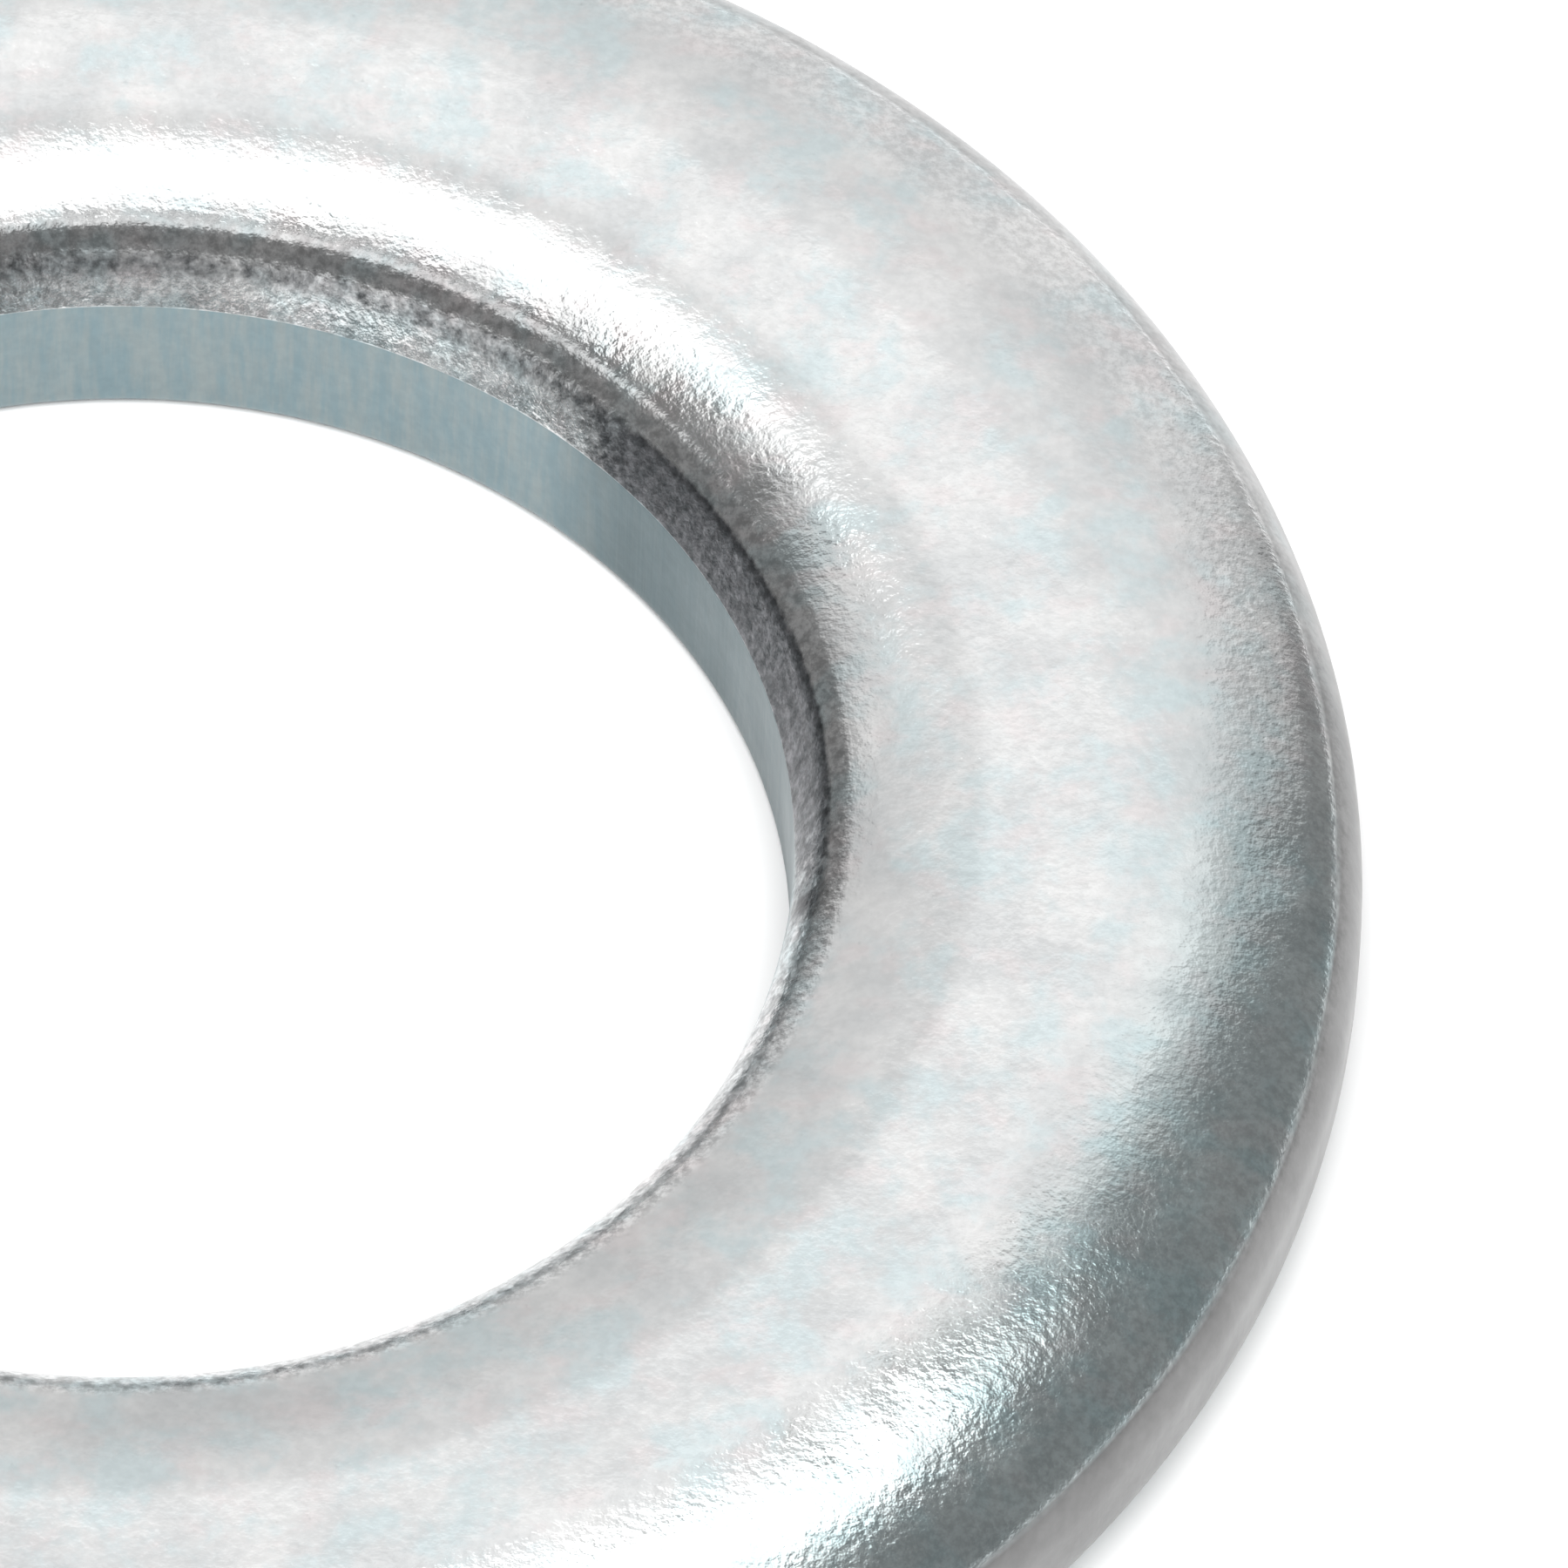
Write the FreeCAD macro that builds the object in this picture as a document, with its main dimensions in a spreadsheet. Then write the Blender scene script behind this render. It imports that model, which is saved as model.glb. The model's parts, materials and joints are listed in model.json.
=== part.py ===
import FreeCAD, Part
import math
import os

import Sketcher

# Plain flat washer for an M12 bolt, 13 x 24 x 2.5 mm, blanked from steel strip in one stroke.
# The punch draws both edges of its entry side down into wide, soft rolls, and tumbling rounds
# the edges of the other side. The washer lies flat with its rolled side up: +Z runs along the
# bore, and the origin is on the bore's axis in the plane of the lower face.

# alias, millimetres, meaning
DIMENSIONS = [
    ("outer_diameter", 24.0, "across the rim"),
    ("bore_diameter", 13.0, "clearance hole for an M12 bolt"),
    ("thickness", 2.5, "between the two flat faces"),
    ("bore_roll_width", 2.0, "bore wall to the flat of the upper face"),
    ("bore_roll_depth", 0.9, "drop from the upper face to the straight bore wall"),
    ("bore_corner_radius", 0.75, "tight corner where the bore roll meets the wall"),
    ("bore_foot_radius", 0.15, "rounding of the lower edge of the bore"),
    ("rim_roll_width", 2.6, "rim wall to the flat of the upper face"),
    ("rim_roll_depth", 1.2, "drop from the upper face to the straight rim wall"),
    ("rim_corner_radius", 0.9, "corner where the rim roll meets the wall"),
    ("rim_foot_radius", 0.9, "rounding of the lower edge of the rim"),
]

NODE = "flat_washer"
START = 1
END = 2
ORIGIN_POINT = (-1, 1)
HORIZONTAL_AXIS = -1
SIZE_TOLERANCE = 1e-4


def make_sheet(doc):
    """The spreadsheet that drives every size of the washer."""
    sheet = doc.addObject("Spreadsheet::Sheet", "Dimensions")
    for row, (alias, value, meaning) in enumerate(DIMENSIONS, start=1):
        sheet.set(f"A{row}", alias)
        sheet.set(f"B{row}", str(value))
        sheet.set(f"C{row}", meaning)
        sheet.setAlias(f"B{row}", alias)
    doc.recompute()
    return sheet


def origin_feature(body, role):
    return next(f for f in body.Origin.OriginFeatures if f.Role == role)


def line(x0, z0, x1, z1):
    return Part.LineSegment(FreeCAD.Vector(x0, z0, 0), FreeCAD.Vector(x1, z1, 0))


def arc(x, z, radius, start_angle, end_angle):
    """Anticlockwise arc about (x, z), angles in radians from the sketch's own X."""
    circle = Part.Circle(FreeCAD.Vector(x, z, 0), FreeCAD.Vector(0, 0, 1), radius)
    return Part.ArcOfCircle(circle, start_angle, end_angle)


def shoulder(width, depth, corner_radius):
    """Radius and sweep of the large arc of a roll.

    The arc leaves the flat face level and meets the corner arc, which ends upright at the wall,
    with a shared tangent. The roll as a whole is width wide and depth deep.
    """
    run = width - corner_radius
    drop = depth - corner_radius
    radius = (run**2 + depth**2 - corner_radius**2) / (2 * drop)
    return radius, math.atan2(run, radius - depth)


def section_geometry(sheet):
    """The closed half section, anticlockwise from the lower face, each piece with its name."""
    rim = sheet.outer_diameter / 2
    bore = sheet.bore_diameter / 2
    top = sheet.thickness
    bore_flat = bore + sheet.bore_roll_width
    rim_flat = rim - sheet.rim_roll_width
    bore_wall_top = top - sheet.bore_roll_depth
    rim_wall_top = top - sheet.rim_roll_depth
    bore_foot = sheet.bore_foot_radius
    rim_foot = sheet.rim_foot_radius
    bore_corner = sheet.bore_corner_radius
    rim_corner = sheet.rim_corner_radius
    bore_shoulder, bore_sweep = shoulder(sheet.bore_roll_width, sheet.bore_roll_depth, bore_corner)
    rim_shoulder, rim_sweep = shoulder(sheet.rim_roll_width, sheet.rim_roll_depth, rim_corner)
    quarter = math.pi / 2
    return {
        "lower_face": line(bore + bore_foot, 0, rim - rim_foot, 0),
        "rim_foot": arc(rim - rim_foot, rim_foot, rim_foot, -quarter, 0),
        "rim_wall": line(rim, rim_foot, rim, rim_wall_top),
        "rim_corner": arc(rim - rim_corner, rim_wall_top, rim_corner, 0, quarter - rim_sweep),
        "rim_shoulder": arc(rim_flat, top - rim_shoulder, rim_shoulder, quarter - rim_sweep, quarter),
        "upper_face": line(rim_flat, top, bore_flat, top),
        "bore_shoulder": arc(
            bore_flat, top - bore_shoulder, bore_shoulder, quarter, quarter + bore_sweep
        ),
        "bore_corner": arc(
            bore + bore_corner, bore_wall_top, bore_corner, quarter + bore_sweep, math.pi
        ),
        "bore_wall": line(bore, bore_wall_top, bore, bore_foot),
        "bore_foot": arc(bore + bore_foot, bore_foot, bore_foot, math.pi, 3 * quarter),
    }


def bind(sketch, constraint, name, expression):
    """Adds a sizing constraint and ties it to the spreadsheet."""
    index = sketch.addConstraint(constraint)
    sketch.renameConstraint(index, name)
    sketch.setExpression(f"Constraints.{name}", expression)


def constrain_shape(sketch, piece):
    """Every joint is tangent, the faces are level and the walls are upright."""
    order = list(piece.values())
    for here, following in zip(order, order[1:] + order[:1]):
        sketch.addConstraint(Sketcher.Constraint("Tangent", here, END, following, START))
    for name in ("lower_face", "upper_face"):
        sketch.addConstraint(Sketcher.Constraint("Horizontal", piece[name]))
    for name in ("rim_wall", "bore_wall"):
        sketch.addConstraint(Sketcher.Constraint("Vertical", piece[name]))
    sketch.addConstraint(
        Sketcher.Constraint("PointOnObject", piece["lower_face"], START, HORIZONTAL_AXIS)
    )


def constrain_main_sizes(sketch, piece, sheet):
    """Thickness, outer diameter and bore, measured from the origin."""
    to_top = Sketcher.Constraint(
        "DistanceY", *ORIGIN_POINT, piece["upper_face"], START, sheet.thickness
    )
    to_rim = Sketcher.Constraint(
        "DistanceX", *ORIGIN_POINT, piece["rim_wall"], START, sheet.outer_diameter / 2
    )
    to_bore = Sketcher.Constraint(
        "DistanceX", *ORIGIN_POINT, piece["bore_wall"], END, sheet.bore_diameter / 2
    )
    bind(sketch, to_top, "thickness", "Dimensions.thickness")
    bind(sketch, to_rim, "rim_radius", "Dimensions.outer_diameter / 2")
    bind(sketch, to_bore, "bore_radius", "Dimensions.bore_diameter / 2")


def constrain_rolls(sketch, piece, sheet):
    """Width and depth of both rolls, each from its wall's top to the end of the flat."""
    rim_top = (piece["rim_wall"], END)
    rim_flat = (piece["upper_face"], START)
    bore_top = (piece["bore_wall"], START)
    bore_flat = (piece["upper_face"], END)
    rim_width = Sketcher.Constraint("DistanceX", *rim_flat, *rim_top, sheet.rim_roll_width)
    rim_depth = Sketcher.Constraint("DistanceY", *rim_top, *rim_flat, sheet.rim_roll_depth)
    bore_width = Sketcher.Constraint("DistanceX", *bore_top, *bore_flat, sheet.bore_roll_width)
    bore_depth = Sketcher.Constraint("DistanceY", *bore_top, *bore_flat, sheet.bore_roll_depth)
    bind(sketch, rim_width, "rim_roll_width", "Dimensions.rim_roll_width")
    bind(sketch, rim_depth, "rim_roll_depth", "Dimensions.rim_roll_depth")
    bind(sketch, bore_width, "bore_roll_width", "Dimensions.bore_roll_width")
    bind(sketch, bore_depth, "bore_roll_depth", "Dimensions.bore_roll_depth")


def constrain_radii(sketch, piece, sheet):
    """The corner and foot radii. Each shoulder's radius follows from its roll."""
    for name in ("rim_corner", "rim_foot", "bore_corner", "bore_foot"):
        alias = f"{name}_radius"
        radius = Sketcher.Constraint("Radius", piece[name], getattr(sheet, alias))
        bind(sketch, radius, alias, f"Dimensions.{alias}")


def half_section(body, sheet):
    """The washer's cross-section on one side of its axis, in the XZ plane."""
    sketch = body.newObject("Sketcher::SketchObject", "half_section")
    sketch.AttachmentSupport = [(origin_feature(body, "XZ_Plane"), "")]
    sketch.MapMode = "FlatFace"
    piece = {}
    for name, geometry in section_geometry(sheet).items():
        piece[name] = sketch.addGeometry(geometry, False)
    constrain_shape(sketch, piece)
    constrain_main_sizes(sketch, piece, sheet)
    constrain_rolls(sketch, piece, sheet)
    constrain_radii(sketch, piece, sheet)
    return sketch


def flat_washer(doc, sheet):
    """The half section turned once round the bore's axis."""
    body = doc.addObject("PartDesign::Body", NODE)
    body.Label = NODE
    body.Placement = FreeCAD.Placement()
    sketch = half_section(body, sheet)
    doc.recompute()
    turned = body.newObject("PartDesign::Revolution", "turned_section")
    turned.Profile = sketch
    turned.ReferenceAxis = (sketch, ["V_Axis"])
    turned.Angle = 360
    sketch.Visibility = False
    return body


def check_document(doc):
    for item in doc.Objects:
        if "Invalid" in item.State or "Error" in item.State:
            raise RuntimeError(f"{item.Label} failed to recompute: {item.State}")
        if item.isDerivedFrom("Sketcher::SketchObject") and item.solve() != 0:
            raise RuntimeError(f"{item.Label} doesn't solve")


def check_washer(shape, sheet):
    if shape.isNull() or not shape.isValid() or len(shape.Solids) != 1:
        raise RuntimeError("the washer isn't one valid solid")
    box = shape.optimalBoundingBox()
    wanted = (sheet.outer_diameter, sheet.outer_diameter, sheet.thickness)
    for made, size in zip((box.XLength, box.YLength, box.ZLength), wanted):
        if abs(made - size) > SIZE_TOLERANCE:
            raise RuntimeError(f"the washer measures {made} mm where {size} mm is wanted")
    if abs(box.ZMin) > SIZE_TOLERANCE:
        raise RuntimeError("the lower face is off the origin's plane")


def main():
    doc = FreeCAD.newDocument("flat_washer_m12")
    sheet = make_sheet(doc)
    washer = flat_washer(doc, sheet)
    doc.recompute()
    check_document(doc)
    check_washer(washer.Shape, sheet)
    os.makedirs("parts", exist_ok=True)
    washer.Shape.exportStep(f"parts/{washer.Label}.step")
    print(f"{washer.Label}: {washer.Shape.Volume:.2f} mm3")


main()
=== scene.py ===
import json
import math

import bpy
import numpy as np
from mathutils import Matrix, Vector, noise


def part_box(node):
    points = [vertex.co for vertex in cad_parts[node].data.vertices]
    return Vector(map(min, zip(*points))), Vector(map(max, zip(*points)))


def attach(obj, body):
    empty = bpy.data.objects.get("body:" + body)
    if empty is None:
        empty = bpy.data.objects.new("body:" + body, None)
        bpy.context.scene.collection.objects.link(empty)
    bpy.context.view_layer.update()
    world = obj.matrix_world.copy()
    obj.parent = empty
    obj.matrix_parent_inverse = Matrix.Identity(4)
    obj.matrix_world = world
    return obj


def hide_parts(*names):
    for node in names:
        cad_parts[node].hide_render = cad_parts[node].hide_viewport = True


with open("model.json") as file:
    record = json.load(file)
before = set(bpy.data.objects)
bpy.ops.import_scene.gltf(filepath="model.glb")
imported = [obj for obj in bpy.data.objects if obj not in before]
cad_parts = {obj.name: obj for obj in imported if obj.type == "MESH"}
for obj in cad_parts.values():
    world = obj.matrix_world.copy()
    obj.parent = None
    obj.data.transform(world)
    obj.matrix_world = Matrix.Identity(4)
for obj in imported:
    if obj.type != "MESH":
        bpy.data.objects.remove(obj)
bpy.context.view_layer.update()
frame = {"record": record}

# Everything is in metres, in the CAD frame: +Z along the bore, the lower face at z = 0.
MM = 0.001
NODE = "flat_washer"
SLOT = "zinc_plated_steel"
SEED = 7

LOW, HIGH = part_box(NODE)
RIM_RADIUS = (HIGH.x - LOW.x) / 2
THICKNESS = HIGH.z - LOW.z
BORE_RADIUS = next(m["dims"]["r_mm"] for m in frame["record"]["mounts"] if m["name"] == "bore") * MM

# The rolled and rounded edges, as in the part's own dimensions.
BORE_ROLL_WIDTH = 2.0 * MM
BORE_ROLL_DEPTH = 0.9 * MM
BORE_CORNER = 0.75 * MM
BORE_FOOT = 0.15 * MM
RIM_ROLL_WIDTH = 2.6 * MM
RIM_ROLL_DEPTH = 1.2 * MM
RIM_CORNER = 0.9 * MM
RIM_FOOT = 0.9 * MM

# From the right to the far side the bore's roll is deeper and meets the wall at a ridge.
RIDGE_DEPTH = 0.93 * MM
RIDGE_SLOPE = math.radians(66)
RIDGE_STEP = 0.015 * MM

DISH_DEPTH = 0.045 * MM
DENT_COUNT = 46
SEGMENTS_ROUND = 640

# A dark nick in the bore's corner: its angle, its depth below the upper face and its size.
NICK_ANGLE = -6.5
NICK_DROP = 0.52 * MM
NICK_WIDTH = 0.17 * MM
NICK_HEIGHT = 0.24 * MM

TABLE_GAP = 0.002 * MM
TABLE_HALF_WIDTH = 4.0


# ---------------------------------------------------------------- shape

def arc(centre, radius, start, end, count):
    """Points of an arc as (radius from axis, height, normal across, normal up)."""
    angles = np.linspace(start, end, count)
    across, up = np.cos(angles), np.sin(angles)
    return np.stack([centre[0] + radius * across, centre[1] + radius * up, across, up], 1)


def straight(start, end, normal, count):
    """Points strictly between start and end, with a fixed normal."""
    share = np.linspace(0, 1, count + 2)[1:-1, None]
    points = np.array(start) * (1 - share) + np.array(end) * share
    return np.hstack([points, np.tile(normal, (count, 1))])


def shoulder(width, depth, corner):
    """Radius and sweep of a roll's large arc, tangent to the flat face and to the corner arc."""
    run = width - corner
    radius = (run**2 + depth**2 - corner**2) / (2 * (depth - corner))
    return radius, math.atan2(run, radius - depth)


def rounded_corner(sweep):
    """The bore's roll turning into its wall through a tangent arc, and the wall below it."""
    wall_top = THICKNESS - BORE_ROLL_DEPTH
    centre = (BORE_RADIUS + BORE_CORNER, wall_top)
    return np.vstack([
        arc(centre, BORE_CORNER, math.pi / 2 + sweep, math.pi, 20),
        straight((BORE_RADIUS, wall_top), (BORE_RADIUS, BORE_FOOT), (-1, 0), 17),
    ])


def ridged_corner(start, sweep):
    """The deeper roll: a small bend, a short cone, a ridge and the wall below it."""
    bend = (math.sin(RIDGE_SLOPE) - math.sin(sweep), math.cos(sweep) - math.cos(RIDGE_SLOPE))
    cone = (math.cos(RIDGE_SLOPE), math.sin(RIDGE_SLOPE))
    reach = (start[0] - BORE_RADIUS, start[1] - THICKNESS + RIDGE_DEPTH)
    radius = np.linalg.solve(np.transpose([bend, cone]), reach)[0]
    centre = (start[0] - radius * math.cos(math.pi / 2 + sweep), start[1] - radius * math.cos(sweep))
    normal = (-math.sin(RIDGE_SLOPE), math.cos(RIDGE_SLOPE))
    turn = arc(centre, radius, math.pi / 2 + sweep, math.pi / 2 + RIDGE_SLOPE, 10)
    ridge = (BORE_RADIUS, THICKNESS - RIDGE_DEPTH)
    above = (ridge[0] + RIDGE_STEP * cone[0], ridge[1] + RIDGE_STEP * cone[1])
    below = (ridge[0], ridge[1] - RIDGE_STEP)
    return np.vstack([
        turn,
        straight(turn[-1, :2], above, normal, 8),
        [[*above, *normal], [*ridge, -1, 0], [*below, -1, 0]],
        straight(below, (BORE_RADIUS, BORE_FOOT), (-1, 0), 16),
    ])


def section(ridged):
    """The washer's half section, anticlockwise from the bore's foot, as rows of arc()."""
    top = THICKNESS
    quarter = math.pi / 2
    rim_big, rim_sweep = shoulder(RIM_ROLL_WIDTH, RIM_ROLL_DEPTH, RIM_CORNER)
    bore_big, bore_sweep = shoulder(BORE_ROLL_WIDTH, BORE_ROLL_DEPTH, BORE_CORNER)
    rim_wall_top = top - RIM_ROLL_DEPTH
    rim_flat = RIM_RADIUS - RIM_ROLL_WIDTH
    bore_flat = BORE_RADIUS + BORE_ROLL_WIDTH
    bore_shoulder = arc((bore_flat, top - bore_big), bore_big, quarter, quarter + bore_sweep, 20)
    corner_start = bore_shoulder[-1, :2]
    corner = ridged_corner(corner_start, bore_sweep) if ridged else rounded_corner(bore_sweep)
    foot_centre = (BORE_RADIUS + BORE_FOOT, BORE_FOOT)
    rim_foot_centre = (RIM_RADIUS - RIM_FOOT, RIM_FOOT)
    return np.vstack([
        arc(foot_centre, BORE_FOOT, math.pi, 3 * quarter, 6),
        straight((foot_centre[0], 0), (rim_foot_centre[0], 0), (0, -1), 22),
        arc(rim_foot_centre, RIM_FOOT, -quarter, 0, 15),
        straight((RIM_RADIUS, RIM_FOOT), (RIM_RADIUS, rim_wall_top), (1, 0), 4),
        arc((RIM_RADIUS - RIM_CORNER, rim_wall_top), RIM_CORNER, 0, quarter - rim_sweep, 18)[:-1],
        arc((rim_flat, top - rim_big), rim_big, quarter - rim_sweep, quarter, 22),
        straight((rim_flat, top), (bore_flat, top), (0, 1), 8),
        bore_shoulder[:-1],
        corner,
    ])


def smoothstep(low, high, value):
    share = np.clip((value - low) / (high - low), 0, 1)
    return share * share * (3 - 2 * share)


def between(value, rise, fall):
    """1 inside a range and 0 outside it. Its soft ends, rise and fall, are (from, to) pairs."""
    return smoothstep(*rise, value) * (1 - smoothstep(*fall, value))


def noise_field(points, size, seed):
    """Smooth noise from -1 to 1 whose features are about size metres across."""
    shift = Vector((seed * 3.7, seed * 1.3, seed * 2.1))
    return np.array([noise.noise(Vector(p) / size + shift) for p in points])


# The masks below run from 0 to 1. They take slopes in degrees, 0 on the upper face, 90 on a wall
# and 180 on the lower face, and angles round the bore in degrees, 0 on the right and 90 at the
# far side.

def shade_line(angle):
    """Slope from which the upper edges reflect the table, not the sky, seen from the front."""
    return 45 - 18.5 * np.sin(np.radians(angle))


def far_side(angle, low, high):
    """Fades from the near half, 0, to the far half, 1, between two angles."""
    start, end = math.sin(math.radians(low)), math.sin(math.radians(high))
    return smoothstep(start, end, np.sin(np.radians(angle)))


def wall_masks(slope, inner, angle):
    """The bore's and the rim's upright walls.

    The rim's starts at the shade line, so its darker colour is partly duller sheared metal and
    partly a painted reflection. Its upper end is lighter on the far side: painted light.
    """
    bore = between(slope, (72, 82), (140, 160)) * inner
    start = shade_line(angle)
    # Painted reflection: the rim's darker wall colour begins where the rim reflects the table, seen
    # from the front.
    rim = between(slope, (start - 4.5, start + 2), (125, 140)) * ~inner
    # Painted light: the rim wall's upper end is lighter on the far side.
    lighter = 0.3 * far_side(angle, 2, 26) * (1 - smoothstep(56, 72, slope))
    return bore, rim * (1 - lighter)


def roll_tone(slope, inner):
    """The rolls are a little duller than the flat ring, the bore's roll more so."""
    inside = 0.155 * smoothstep(0.5, 3.2, slope) + 0.065 * smoothstep(3.5, 12, slope)
    outside = 0.03 * smoothstep(1, 4, slope) + 0.06 * smoothstep(6, 14, slope)
    return np.where(inner, inside, outside)


def cool_front(slope, inner, angle):
    """The rim's roll has a cooler tint on the near side."""
    return smoothstep(3, 12, slope) * ~inner * (1 - far_side(angle, -12, 20))


def right_side(angle):
    """The right side of the bore, where the painted shade on the roll and on the wall is darkest."""
    return between(angle, (-14, 8), (42, 56))


def painted_shade_corner(slope, inner, angle, depth):
    """Painted shade: a dark band painted on the steep part of the bore's roll, standing in for the
    dark reflection there.

    It is darkest on the right. At the back only the upper half of the steep part has it.
    """
    right = right_side(angle)
    back = between(angle, (44, 58), (118, 130))
    # The painted shade starts where the roll reflects the table, seen from the front.
    start = shade_line(angle + 180) - 2 - 7 * back
    steep = between(slope, (start - 8, start + 4), (72, 82)) * inner
    upper_half = 1 - smoothstep(0.52 * MM, 0.72 * MM, depth)
    return steep * ((0.4 + 0.6 * right) * (1 - back) + 0.56 * upper_half * back)


def speckled(slope, inner):
    """Where the stretched surface of the rolls is pitted."""
    bore = between(slope, (12, 24), (76, 86)) * inner
    rim = between(slope, (10, 18), (50, 64)) * ~inner
    return bore + 0.45 * rim


def nick(points, angle, inner):
    """A small dark nick in the bore's corner, a little in front of the right side."""
    round_the_bore = np.radians(angle - NICK_ANGLE) * BORE_RADIUS / NICK_WIDTH
    up_the_corner = (points[:, 2] - THICKNESS + NICK_DROP) / NICK_HEIGHT
    return np.exp(-(round_the_bore**2) - up_the_corner**2) * inner


def dent_depths(points, random):
    """Shallow dents from the tumbling drum, mostly on the upper side and the rim."""
    depth = np.zeros(len(points))
    for _ in range(DENT_COUNT):
        angle = random.uniform(0, 2 * math.pi)
        radius = random.uniform(BORE_RADIUS + 0.8 * MM, RIM_RADIUS)
        height = THICKNESS if random.random() < 0.75 else 0.0
        centre = np.array([radius * math.cos(angle), radius * math.sin(angle), height])
        size = random.uniform(0.12, 0.42) * MM
        distance = np.linalg.norm((points - centre) * (1, 1, 0.5), axis=1)
        depth += size * 0.02 * np.exp(-((distance / size) ** 2))
    return depth


def relief(points, bore, rim):
    """Outward displacement of every vertex: dishing, waviness, shear marks and dents."""
    random = np.random.default_rng(SEED)
    radius = np.hypot(points[:, 0], points[:, 1])
    upper = smoothstep(0.6 * THICKNESS, 0.9 * THICKNESS, points[:, 2])
    dish = DISH_DEPTH * upper * (1 - smoothstep(8.2 * MM, 9.7 * MM, radius))
    waves = 2.6e-6 * noise_field(points, 2.6 * MM, 1) + 0.8e-6 * noise_field(points, 0.8 * MM, 2)
    streaks = noise_field(points * (1, 1, 0.06), 0.22 * MM, 3)
    shear = 1.6e-6 * streaks * np.maximum(bore, 0.5 * rim)
    return waves + shear - dish - dent_depths(points, random)


def ridge_share(turn):
    """Where round the bore the deeper roll takes over, from 0 to 1."""
    return between(np.degrees(turn), (-14, 16), (118, 150))


def turned_section():
    """The half section turned round the axis: points and normals, one row for each step."""
    turn = np.linspace(-math.pi, math.pi, SEGMENTS_ROUND, endpoint=False)
    share = ridge_share(turn)[:, None, None]
    outline = (1 - share) * section(False) + share * section(True)
    cos, sin = np.cos(turn)[:, None], np.sin(turn)[:, None]
    radius, height, across, up = np.moveaxis(outline, 2, 0)
    points = np.stack([radius * cos, radius * sin, height], -1)
    normals = np.stack([across * cos, across * sin, up], -1)
    return points, normals


def surface_traits(points, normals):
    """The masks that the material reads, one value for each vertex."""
    slope = np.degrees(np.arccos(np.clip(normals[:, 2], -1, 1)))
    inner = np.hypot(points[:, 0], points[:, 1]) < (BORE_RADIUS + RIM_RADIUS) / 2
    angle = np.degrees(np.arctan2(points[:, 1], points[:, 0]))
    bore, rim = wall_masks(slope, inner, angle)
    return {
        "bore_wall": bore,
        "rim_wall": rim,
        "roll_tone": roll_tone(slope, inner),
        "painted_shade_corner": painted_shade_corner(slope, inner, angle, THICKNESS - points[:, 2]),
        "right_side": right_side(angle),
        "speckled": speckled(slope, inner),
        "cool_front": cool_front(slope, inner, angle),
        "nick": nick(points, angle, inner),
    }


def closed_grid(rows):
    """Quads between each step and the next, closed round the axis and round the section."""
    here = np.arange(SEGMENTS_ROUND * rows).reshape(SEGMENTS_ROUND, rows)
    ahead = np.roll(here, -1, axis=0)
    quads = np.stack([here, ahead, np.roll(ahead, -1, axis=1), np.roll(here, -1, axis=1)], -1)
    return quads.reshape(-1, 4).tolist()


def washer_mesh():
    """The turned section as a closed mesh with its relief and its traits."""
    points, normals = turned_section()
    quads = closed_grid(points.shape[1])
    points, normals = points.reshape(-1, 3), normals.reshape(-1, 3)
    traits = surface_traits(points, normals)
    bumps = relief(points, traits["bore_wall"], traits["rim_wall"])
    mesh = bpy.data.meshes.new("washer_ring")
    mesh.from_pydata((points + normals * bumps[:, None]).tolist(), [], quads)
    mesh.polygons.foreach_set("use_smooth", [True] * len(mesh.polygons))
    for name, values in traits.items():
        mesh.attributes.new(name, "FLOAT", "POINT").data.foreach_set("value", values)
    mesh.update()
    return mesh


# ---------------------------------------------------------------- material

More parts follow.
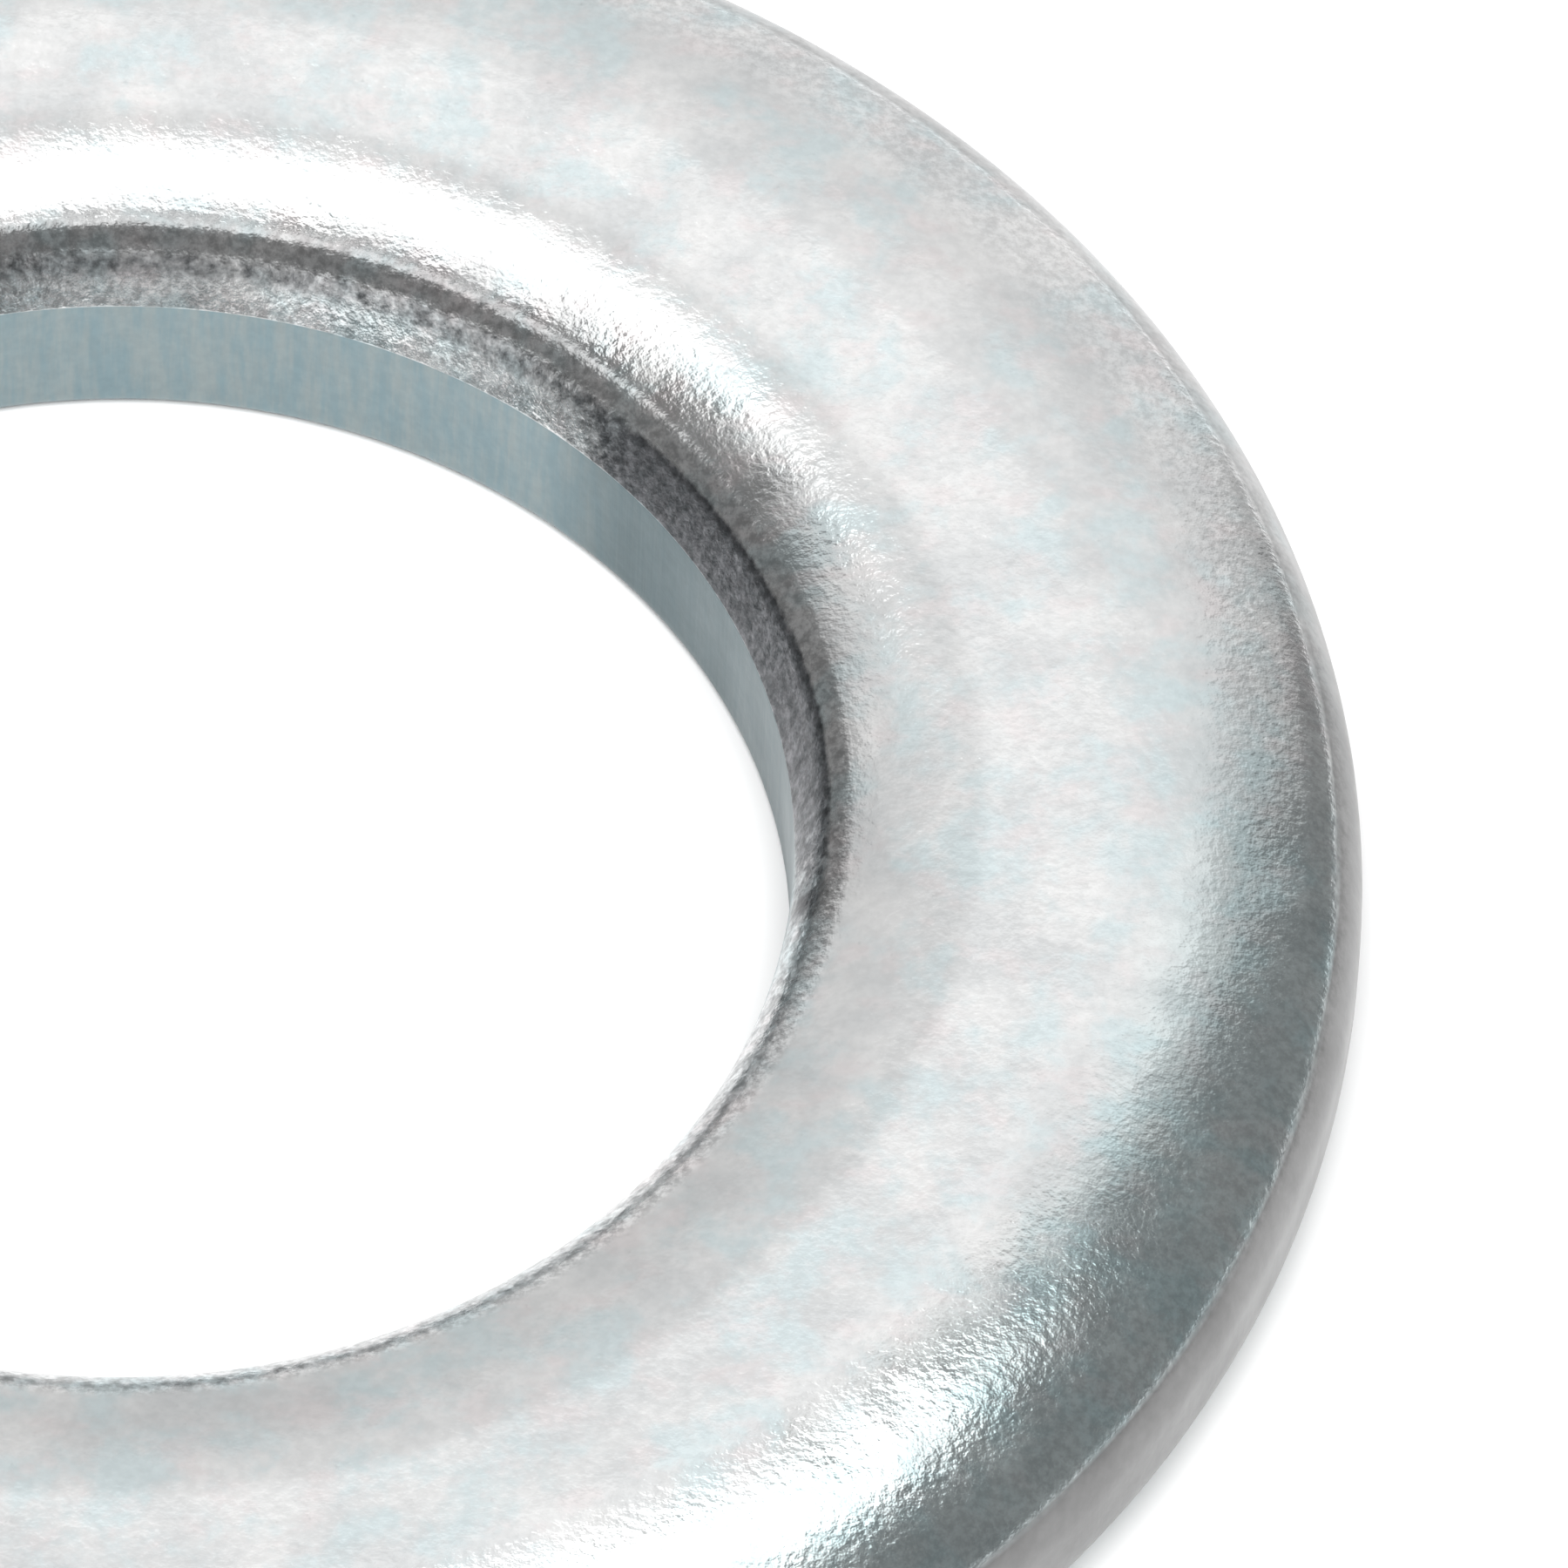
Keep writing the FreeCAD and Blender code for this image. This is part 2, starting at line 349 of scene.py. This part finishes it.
class Graph:
    """Short helpers for writing a node tree in reading order."""

    def __init__(self, tree):
        self.tree = tree

    def node(self, kind, **settings):
        made = self.tree.nodes.new(kind)
        for key, value in settings.items():
            setattr(made, key, value)
        return made

    def put(self, socket, value):
        if isinstance(value, bpy.types.NodeSocket):
            self.tree.links.new(value, socket)
        else:
            socket.default_value = value

    def math(self, operation, first, second):
        made = self.node("ShaderNodeMath", operation=operation)
        self.put(made.inputs[0], first)
        self.put(made.inputs[1], second)
        return made.outputs[0]

    def noise(self, vector, size, detail=2.0, roughness=0.5, stretch=(1, 1, 1)):
        """Noise about 0.5 with features about size metres across."""
        enlarged = self.node("ShaderNodeVectorMath", operation="MULTIPLY")
        self.put(enlarged.inputs[0], vector)
        self.put(enlarged.inputs[1], [s / size for s in stretch])
        made = self.node("ShaderNodeTexNoise")
        self.put(made.inputs["Vector"], enlarged.outputs[0])
        self.put(made.inputs["Scale"], 1.0)
        self.put(made.inputs["Detail"], detail)
        self.put(made.inputs["Roughness"], roughness)
        return made.outputs["Fac"]

    def remap(self, value, from_low, from_high, to_low, to_high):
        made = self.node("ShaderNodeMapRange", interpolation_type="SMOOTHSTEP")
        self.put(made.inputs["Value"], value)
        self.put(made.inputs["From Min"], from_low)
        self.put(made.inputs["From Max"], from_high)
        self.put(made.inputs["To Min"], to_low)
        self.put(made.inputs["To Max"], to_high)
        return made.outputs["Result"]

    def mix(self, factor, first, second, blend="MIX"):
        made = self.node("ShaderNodeMix", data_type="RGBA", blend_type=blend)
        self.put(made.inputs[0], factor)
        self.put(made.inputs[6], first)
        self.put(made.inputs[7], second)
        return made.outputs[2]

    def attribute(self, name):
        return self.node("ShaderNodeAttribute", attribute_name=name).outputs["Fac"]

    def scaled(self, name, strength):
        return self.math("MULTIPLY", self.attribute(name), strength)

    def bump(self, height, distance, under=None):
        made = self.node("ShaderNodeBump")
        self.put(made.inputs["Height"], height)
        self.put(made.inputs["Distance"], distance)
        if under is not None:
            self.put(made.inputs["Normal"], under)
        return made.outputs["Normal"]


def colour(red, green, blue):
    return (red, green, blue, 1.0)


CLOUD_DARK = colour(0.745, 0.76, 0.765)
CLOUD_LIGHT = colour(0.905, 0.905, 0.90)
COOL_TINT = colour(0.72, 0.83, 0.85)
WARM_TINT = colour(0.88, 0.81, 0.81)
FRONT_TINT = colour(0.90, 1.0, 1.01)
# Painted shade colours for the dark band on the bore's roll.
PAINTED_SHADE_MID = colour(0.2, 0.2, 0.21)
PAINTED_SHADE_DEEP = colour(0.105, 0.11, 0.115)
BORE_DARK = colour(0.205, 0.28, 0.305)
BORE_LIGHT = colour(0.265, 0.31, 0.315)
# Painted shade colour for the right side of the bore's wall.
BORE_PAINTED_SHADE = colour(0.095, 0.135, 0.147)
RIM_DARK = colour(0.215, 0.215, 0.215)
RIM_LIGHT = colour(0.255, 0.255, 0.255)
NICK_COLOUR = colour(0.06, 0.06, 0.065)


def bright_zinc(graph, place, clouds):
    """Cloudy light grey with faint cool and warm tints, a little duller on the rolls."""
    base = graph.mix(clouds, CLOUD_DARK, CLOUD_LIGHT)
    cool = graph.remap(graph.noise(place, 0.70 * MM, 4.0, 0.55), 0.46, 0.66, 0.0, 0.75)
    base = graph.mix(cool, base, COOL_TINT)
    warm = graph.noise(place, 0.60 * MM, 4.0, 0.55, (1, 1.3, 1))
    base = graph.mix(graph.remap(warm, 0.50, 0.68, 0.0, 0.5), base, WARM_TINT)
    duller = graph.math("SUBTRACT", 1.0, graph.attribute("roll_tone"))
    base = graph.mix(1.0, base, duller, "MULTIPLY")
    return graph.mix(graph.attribute("cool_front"), base, FRONT_TINT, "MULTIPLY")


def with_painted_corner_shade(graph, place, base):
    """Lays a dark, blotchy painted shade over the steep part of the bore's roll."""
    mottle = graph.noise(place, 0.12 * MM, 3.0, 0.65)
    # Painted shade over the steep part of the bore's roll, made blotchy by the mottle.
    dull = graph.math("ADD", graph.attribute("painted_shade_corner"), graph.math("SUBTRACT", mottle, 0.5))
    dark = graph.mix(graph.remap(mottle, 0.3, 0.7, 0.0, 1.0), PAINTED_SHADE_MID, PAINTED_SHADE_DEEP)
    return graph.mix(graph.remap(dull, 0.1, 0.9, 0.0, 1.0), base, dark)


def sheared_bore(graph, place):
    """The bore's wall: dull and bluish, with upright streaks, and painted shade darkening it on the
    right.
    """
    stripes = graph.noise(place, 0.17 * MM, 4.0, 0.65, (1, 1, 0.12))
    wall = graph.mix(graph.remap(stripes, 0.33, 0.67, 0.0, 1.0), BORE_DARK, BORE_LIGHT)
    # Painted shade: darkens the wall on the right.
    return graph.mix(graph.scaled("right_side", 0.9), wall, BORE_PAINTED_SHADE)


def speck_tone(graph, place):
    """Fine specks everywhere, and coarse strong ones where the rolls are pitted."""
    fine = graph.remap(graph.noise(place, 0.13 * MM, 2.0, 0.6), 0.3, 0.7, 0.955, 1.03)
    coarse = graph.remap(graph.noise(place, 0.10 * MM, 3.0, 0.7), 0.32, 0.68, 0.75, 1.32)
    return graph.mix(graph.attribute("speckled"), fine, coarse)


def zinc_colour(graph, place, bore, rim):
    """Bright zinc with painted shade on the bore's roll and on the bore wall's right side, duller on
    the sheared walls, with a painted reflection on the rim wall.
    """
    clouds = graph.remap(graph.noise(place, 1.1 * MM, 4.0, 0.6), 0.32, 0.68, 0.0, 1.0)
    base = with_painted_corner_shade(graph, place, bright_zinc(graph, place, clouds))
    base = graph.mix(bore, base, sheared_bore(graph, place))
    # Rim wall colour: duller sheared metal, and a painted reflection where the rim reflects the
    # table.
    base = graph.mix(rim, base, graph.mix(clouds, RIM_DARK, RIM_LIGHT))
    base = graph.mix(1.0, base, speck_tone(graph, place), "MULTIPLY")
    return graph.mix(graph.attribute("nick"), base, NICK_COLOUR)


def zinc_roughness(graph, place, bore, rim):
    """Glossy with duller clouds, duller on the rolls and most of all on the sheared walls."""
    clouds = graph.remap(graph.noise(place, 0.6 * MM, 3.0), 0.3, 0.7, 0.11, 0.17)
    rolls = graph.math("ADD", graph.scaled("speckled", 0.08), graph.scaled("painted_shade_corner", 0.14))
    walls = graph.math("MULTIPLY", graph.math("MAXIMUM", bore, rim), 0.2)
    return graph.math("ADD", graph.math("ADD", clouds, rolls), walls)


def zinc_normal(graph, place, bore, rim):
    """Orange peel and fine grain of the plating, and upright shear streaks on the walls."""
    peel = graph.noise(place, 0.26 * MM, 3.0)
    grain = graph.noise(place, 0.085 * MM, 2.0, 0.6)
    streaks = graph.noise(place, 0.09 * MM, 2.0, stretch=(1, 1, 0.05))
    sheared = graph.math("MAXIMUM", bore, graph.math("MULTIPLY", rim, 0.4))
    coarser = graph.math("ADD", 1.0, graph.scaled("speckled", 1.5))
    finer = graph.math("MULTIPLY", graph.math("MAXIMUM", bore, rim), 0.6)
    strength = graph.math("SUBTRACT", coarser, finer)
    normal = graph.bump(peel, 3.0e-6)
    normal = graph.bump(graph.math("MULTIPLY", grain, strength), 3.0e-6, normal)
    return graph.bump(graph.math("MULTIPLY", streaks, sheared), 5.0e-6, normal)


def zinc_material():
    material = bpy.data.materials.new(SLOT)
    material.use_nodes = True
    tree = material.node_tree
    graph = Graph(tree)
    shader = tree.nodes["Principled BSDF"]
    place = graph.node("ShaderNodeTexCoord").outputs["Object"]
    bore, rim = graph.attribute("bore_wall"), graph.attribute("rim_wall")
    shader.inputs["Metallic"].default_value = 1.0
    graph.put(shader.inputs["Base Color"], zinc_colour(graph, place, bore, rim))
    graph.put(shader.inputs["Roughness"], zinc_roughness(graph, place, bore, rim))
    graph.put(shader.inputs["Normal"], zinc_normal(graph, place, bore, rim))
    return material


def flat_washer():
    piece = bpy.data.objects.new("washer_ring", washer_mesh())
    bpy.context.scene.collection.objects.link(piece)
    piece.data.materials.append(zinc_material())
    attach(piece, "root")
    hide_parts(NODE)


# ---------------------------------------------------------------- studio

def floor():
    """A plain white table top, far larger than the washer, just touching it."""
    half = TABLE_HALF_WIDTH
    mesh = bpy.data.meshes.new("table_top")
    corners = [(-half, -half), (half, -half), (half, half), (-half, half)]
    mesh.from_pydata([(x, y, LOW.z - TABLE_GAP) for x, y in corners], [], [(0, 1, 2, 3)])
    table = bpy.data.objects.new("table_top", mesh)
    bpy.context.scene.collection.objects.link(table)
    material = bpy.data.materials.new("white_table")
    material.use_nodes = True
    shader = material.node_tree.nodes["Principled BSDF"]
    shader.inputs["Base Color"].default_value = colour(0.9, 0.9, 0.9)
    shader.inputs["Roughness"].default_value = 0.9
    shader.inputs["Specular IOR Level"].default_value = 0.1
    mesh.materials.append(material)


def tangent(degrees):
    return math.tan(math.radians(degrees))


def direction(zenith, azimuth):
    """Unit vector at a zenith angle, with azimuth 0 behind the washer and 90 on its right."""
    zenith, azimuth = math.radians(zenith), math.radians(azimuth)
    across = math.sin(zenith)
    return Vector((across * math.sin(azimuth), across * math.cos(azimuth), math.cos(zenith)))


def panel(name, centre, facing, width, height, radiance):
    """A rectangular soft light that shines along facing, unseen by the camera."""
    light = bpy.data.lights.new(name, "AREA")
    light.shape = "RECTANGLE"
    light.size, light.size_y = width, height
    light.energy = radiance * math.pi * width * height
    lamp = bpy.data.objects.new(name, light)
    lamp.location = centre
    lamp.rotation_mode = "QUATERNION"
    lamp.rotation_quaternion = facing.to_track_quat("-Z", "Y")
    lamp.visible_camera = False
    bpy.context.scene.collection.objects.link(lamp)


def softbox(name, zenith, azimuth, wide, tall, radiance):
    """A soft light a metre away that covers wide by tall degrees of the washer's sky."""
    towards = direction(zenith, azimuth)
    panel(name, towards, -towards, 2 * tangent(wide / 2), 2 * tangent(tall / 2), radiance)


def table_light():
    """Broad daylight on the table from the front. It adds no highlight to the metal."""
    light = bpy.data.lights.new("table_light", "SUN")
    light.energy = 3.9
    light.angle = math.radians(50)
    lamp = bpy.data.objects.new("table_light", light)
    lamp.rotation_mode = "QUATERNION"
    lamp.rotation_quaternion = (-direction(22, 180)).to_track_quat("-Z", "Y")
    lamp.visible_glossy = False
    bpy.context.scene.collection.objects.link(lamp)


def dim_room(level):
    world = bpy.data.worlds.new("dim_room")
    world.use_nodes = True
    background = world.node_tree.nodes["Background"]
    background.inputs["Color"].default_value = colour(level, level, level)
    bpy.context.scene.world = world


# Strips of the back wall, side by side: left and right edge in degrees, share of its brightness.
BACK_STRIPS = {"left": (-41, -33, 0.5), "mid": (-33, 30, 1), "right": (30, 38, 0.5)}


def back_panel(name, low, high, radiance):
    """A panel a metre behind the washer, from low to high degrees above the table."""
    bottom, top = tangent(low), tangent(high)
    for part, (left_angle, right_angle, share) in BACK_STRIPS.items():
        left, right = tangent(left_angle), tangent(right_angle)
        centre = Vector(((left + right) / 2, 1, (bottom + top) / 2))
        facing = Vector((0, -1, 0))
        panel(f"{name}_{part}", centre, facing, right - left, top - bottom, radiance * share)


def lights():
    """A lamp overhead, a bright wall behind, reflectors in front, and a dim room."""
    panel("overhead_softbox", direction(19, 10), -direction(19, 20), 0.61, 0.265, 1.7)
    softbox("overhead_fill", 12, -85, 20, 38, 0.85)
    back_panel("back_panel_crown", 57, 62, 0.67)
    back_panel("back_panel_top", 53, 57, 0.82)
    back_panel("back_panel_middle", 42, 53, 0.67)
    back_panel("back_panel_low", 0, 42, 0.6)
    softbox("front_left_reflector", 78, -143, 40, 18, 1.2)
    softbox("front_reflector", 76, 180, 30, 20, 0.5)
    table_light()
    dim_room(0.24)


def camera():
    """Looks down from the front, about 53 degrees above the table, with a long lens.

    Its angles are in radians. It aims to the right of the washer's middle, as the photograph does.
    """
    elevation = 0.9281
    roll = -0.0410
    distance = 16 * RIM_RADIUS
    aim_right, aim_up = 0.5315 * RIM_RADIUS, 0.0183 * RIM_RADIUS
    right = Vector((1, 0, 0))
    up = Vector((0, math.sin(elevation), math.cos(elevation)))
    back = Vector((0, -math.cos(elevation), math.sin(elevation)))
    place = right * aim_right + up * aim_up + back * distance + Vector((0, 0, THICKNESS))
    side = math.cos(roll) * right - math.sin(roll) * up
    above = math.sin(roll) * right + math.cos(roll) * up
    data = bpy.data.cameras.new("camera")
    data.sensor_width = 36
    data.lens = 459.06
    data.clip_start, data.clip_end = 0.01, 20
    eye = bpy.data.objects.new("camera", data)
    turn = Matrix((side, above, back)).transposed().to_4x4()
    eye.matrix_world = Matrix.Translation(place) @ turn
    bpy.context.scene.collection.objects.link(eye)
    bpy.context.scene.camera = eye


flat_washer()
floor()
lights()
camera()
bpy.context.scene.view_settings.view_transform = "Standard"
